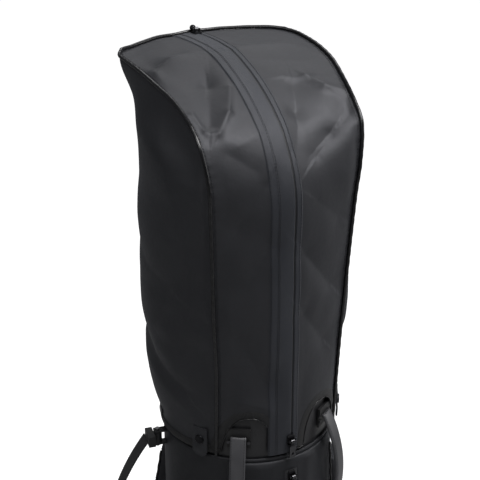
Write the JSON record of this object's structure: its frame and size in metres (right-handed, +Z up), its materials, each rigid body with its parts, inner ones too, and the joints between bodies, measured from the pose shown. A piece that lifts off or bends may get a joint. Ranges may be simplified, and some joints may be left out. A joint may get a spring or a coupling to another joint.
{
  "type": "golf travel case",
  "caption": "Round free-standing golf bag closed by a tall zip-up travel hood with piped seams, lift handles, zipped pockets and a shoulder strap.",
  "frame": {"origin": "on the floor under the middle of the base", "axes": "+Z up along the tube; the zip side, the front, faces -Y"},
  "size_m": [0.3819, 0.316, 1.3009],
  "materials": {
    "coated_cloth": "smooth coated polyester, soft satin sheen",
    "woven_cloth": "fine plain-woven nylon",
    "lining": "brushed tricot lining",
    "webbing": "ribbed polyester webbing",
    "binding": "grosgrain binding tape",
    "piping": "glossy coated piping cord",
    "zip_tape": "herringbone zip tape",
    "zip_coil": "nylon coil",
    "moulded_trim": "fine-grained moulded plastic",
    "rubber": "matt rubber",
    "dark_metal": "gunmetal plating",
    "steel": "plain zinc plating"
  },
  "bodies": {
    "bag": {"base_cup": "moulded_trim", "base_feet": "rubber", "foot_screws": "steel", "body_tube": "coated_cloth", "collar": "moulded_trim", "stay_rods": "steel", "divider_bars": "moulded_trim", "divider_long_panel": "lining", "divider_cross_panels": "lining", "collar_snap_studs": "dark_metal", "front_pocket": "coated_cloth", "front_pocket_zip_tape_left": "zip_tape", "front_pocket_zip_tape_right": "zip_tape", "right_pocket": "coated_cloth", "right_pocket_zip_tapes": "zip_tape", "left_pocket": "coated_cloth", "left_pocket_zip_tapes": "zip_tape", "handle_left": "webbing", "handle_right": "webbing", "handle_top_plates": "moulded_trim", "handle_low_plates": "moulded_trim", "handle_screws": "dark_metal", "strap_brackets": "moulded_trim", "strap_pins": "steel"},
    "hood": {"hood_side_and_back": "coated_cloth", "hood_front_left": "coated_cloth", "hood_front_right": "coated_cloth", "hood_zip_tape_left": "zip_tape", "hood_zip_tape_right": "zip_tape", "hood_zip_coil_left": "zip_coil", "hood_zip_coil_right": "zip_coil", "hood_zip_top_stop": "dark_metal", "hood_storm_flap": "woven_cloth", "hood_piping": "piping", "hood_hem_binding": "binding", "hood_arch_binding_left": "binding", "hood_arch_binding_right": "binding", "hood_snap_caps": "dark_metal", "hood_pull_tabs": "webbing"},
    "hood_lower_slider": {"hood_lower_slider": "dark_metal"},
    "hood_lower_pull": {"hood_lower_pull": "dark_metal"},
    "hood_upper_slider": {"hood_upper_slider": "dark_metal"},
    "hood_upper_pull": {"hood_upper_pull": "dark_metal"},
    "front_zip_slider": {"front_pocket_slider": "dark_metal"},
    "front_zip_pull": {"front_pocket_pull": "dark_metal"},
    "right_zip_slider": {"right_pocket_slider": "dark_metal"},
    "right_zip_pull": {"right_pocket_pull": "dark_metal"},
    "left_zip_slider": {"left_pocket_slider": "dark_metal"},
    "left_zip_pull": {"left_pocket_pull": "dark_metal"},
    "shoulder_strap": {"strap_end_top": "moulded_trim", "strap_end_low": "moulded_trim", "strap_webbing": "webbing", "strap_pad": "coated_cloth", "strap_adjuster": "moulded_trim"}
  },
  "joints": [
    {"name": "hood_lift", "type": "slide", "parent": "bag", "child": "hood", "axis": [0, 0, 1], "range_m": [0, 0.55]},
    {"name": "hood_lower_slider_slide", "type": "slide", "parent": "hood", "child": "hood_lower_slider", "axis": [0, 0, 1], "range_m": [0, 0.3]},
    {"name": "hood_lower_pull_hinge", "type": "hinge", "parent": "hood_lower_slider", "child": "hood_lower_pull", "pos_m": [0, -0.1267, 0.81], "axis": [1, 0, 0], "range_deg": [-150, 3]},
    {"name": "hood_upper_slider_arc", "type": "hinge", "parent": "hood", "child": "hood_upper_slider", "pos_m": [0, 0.09345, 0.69359], "axis": [1, 0, 0], "range_deg": [0, 4]},
    {"name": "hood_upper_pull_hinge", "type": "hinge", "parent": "hood_upper_slider", "child": "hood_upper_pull", "pos_m": [0, 0.14861, 1.29777], "axis": [1, 0, 0], "range_deg": [0, 150]},
    {"name": "front_zip_slide", "type": "slide", "parent": "bag", "child": "front_zip_slider", "axis": [0, -0.0566, -0.9984], "range_m": [0, 0.355]},
    {"name": "front_zip_pull_hinge", "type": "hinge", "parent": "front_zip_slider", "child": "front_zip_pull", "pos_m": [0, -0.13107, 0.75638], "axis": [1, 0, 0], "range_deg": [-150, 3]},
    {"name": "right_zip_slide", "type": "slide", "parent": "bag", "child": "right_zip_slider", "axis": [0, 0, -1], "range_m": [0, 0.28]},
    {"name": "right_zip_pull_hinge", "type": "hinge", "parent": "right_zip_slider", "child": "right_zip_pull", "pos_m": [0.15554, -0.01635, 0.58], "axis": [0.1045, 0.9945, 0], "range_deg": [-150, 3]},
    {"name": "left_zip_slide", "type": "slide", "parent": "bag", "child": "left_zip_slider", "axis": [0, 0, -1], "range_m": [0, 0.28]},
    {"name": "left_zip_pull_hinge", "type": "hinge", "parent": "left_zip_slider", "child": "left_zip_pull", "pos_m": [-0.07343, 0.13809, 0.58], "axis": [-0.8829, -0.4695, 0], "range_deg": [-150, 3]},
    {"name": "shoulder_strap_swing", "type": "hinge", "parent": "bag", "child": "shoulder_strap", "pos_m": [-0.12901, 0.02275, 0.768], "axis": [0, 0, 1], "range_deg": [-30, 30]}
  ]
}
